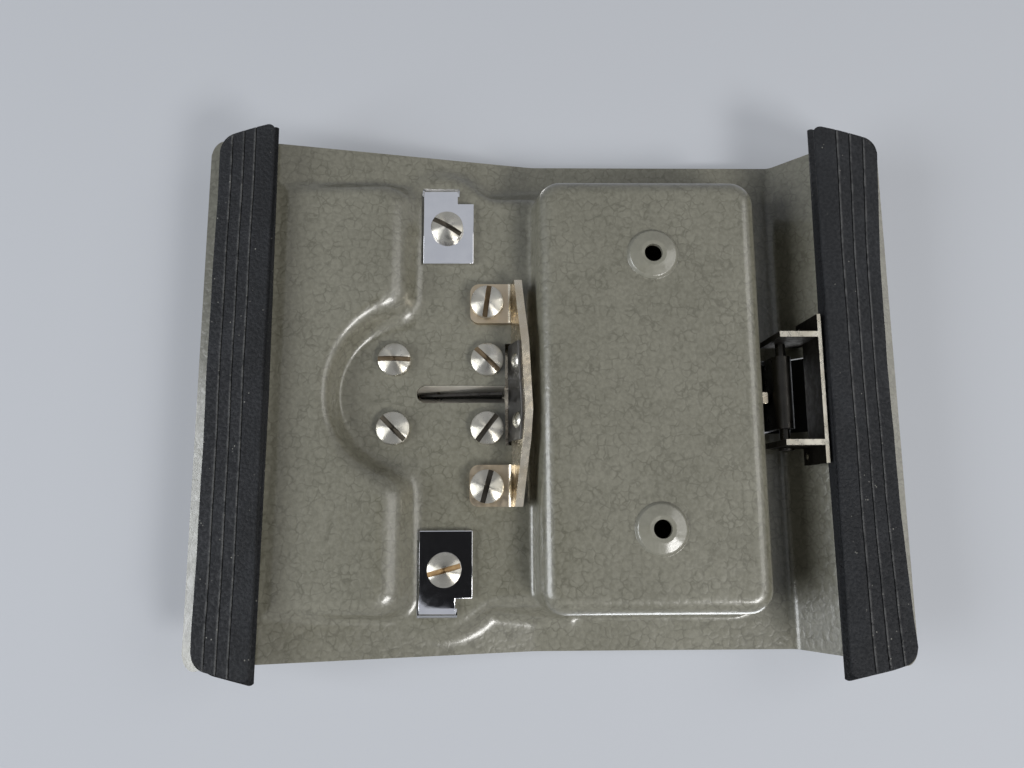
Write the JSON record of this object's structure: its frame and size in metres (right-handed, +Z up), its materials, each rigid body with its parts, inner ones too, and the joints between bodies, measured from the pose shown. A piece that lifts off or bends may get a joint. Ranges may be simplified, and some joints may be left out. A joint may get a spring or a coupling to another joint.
{
  "type": "film splicer",
  "caption": "Sheet-metal splicer for 16 mm film, with hinged film clamps and cutter lever over steel beds, a lidded bottle well and rubber feet.",
  "frame": {"origin": "middle of the footprint, on the plane that the rubber feet stand on", "axes": "+X to the user's right, +Y away from the user, from the finger tray to the lid's hinge, +Z up"},
  "size_m": [0.1054, 0.1382, 0.027],
  "materials": {
    "hammer_paint": "olive-grey hammertone paint",
    "ribbed_rubber": "ribbed, matt, worn",
    "nickel_turned": "turned and nickel plated",
    "nickel_sheet": "nickel plated sheet",
    "chrome_sheet": "bright plated sheet",
    "ground_steel": "ground",
    "dark_steel": "dark, oiled",
    "black_moulding": "moulded, gloss",
    "pad_rubber": "thin matt pad"
  },
  "bodies": {
    "base": {"casing": "hammer_paint", "front_foot_strip": "ribbed_rubber", "rear_foot_strip": "ribbed_rubber", "bed_screws": "nickel_turned", "bracket_screws": "nickel_turned", "rest_screws": "nickel_turned", "rest_nuts": "nickel_turned", "spring_bracket": "nickel_sheet", "left_film_rest": "chrome_sheet", "right_film_rest": "chrome_sheet", "left_film_bed": "ground_steel", "right_film_bed": "ground_steel", "left_register_pins": "ground_steel", "right_register_pins": "ground_steel", "hinge_block": "nickel_sheet", "hinge_pin": "ground_steel", "hinge_clip": "dark_steel", "leaf_spring": "dark_steel", "leaf_rivets": "dark_steel", "lid_hinge_bracket": "dark_steel", "lid_hinge_pin": "dark_steel", "lid_bracket_rivets": "dark_steel", "lid_stop_stud": "dark_steel"},
    "left_clamp": {"left_clamp": "nickel_sheet", "left_clamp_pad": "pad_rubber", "left_clamp_knob": "black_moulding"},
    "right_clamp": {"right_clamp": "nickel_sheet", "right_clamp_pad": "pad_rubber", "right_clamp_knob": "black_moulding"},
    "cutter": {"cutter_arm": "nickel_sheet", "cutter_blade": "ground_steel", "blade_rivets": "dark_steel", "cutter_knob": "black_moulding"},
    "lid": {"well_lid": "hammer_paint", "lid_knob": "black_moulding", "lid_strap": "dark_steel", "lid_strap_rivets": "dark_steel"}
  },
  "joints": [
    {"name": "left_clamp_hinge", "type": "hinge", "parent": "base", "child": "left_clamp", "pos_m": [0, -0.006, 0.0186], "axis": [-1, 0, 0], "range_deg": [0, 90]},
    {"name": "right_clamp_hinge", "type": "hinge", "parent": "base", "child": "right_clamp", "pos_m": [0, -0.006, 0.0186], "axis": [-1, 0, 0], "range_deg": [0, 90]},
    {"name": "cutter_hinge", "type": "hinge", "parent": "base", "child": "cutter", "pos_m": [0, -0.006, 0.0186], "axis": [-1, 0, 0], "range_deg": [0, 90]},
    {"name": "lid_hinge", "type": "hinge", "parent": "base", "child": "lid", "pos_m": [0, 0.047, 0.009], "axis": [-1, 0, 0], "range_deg": [0, 95]}
  ]
}
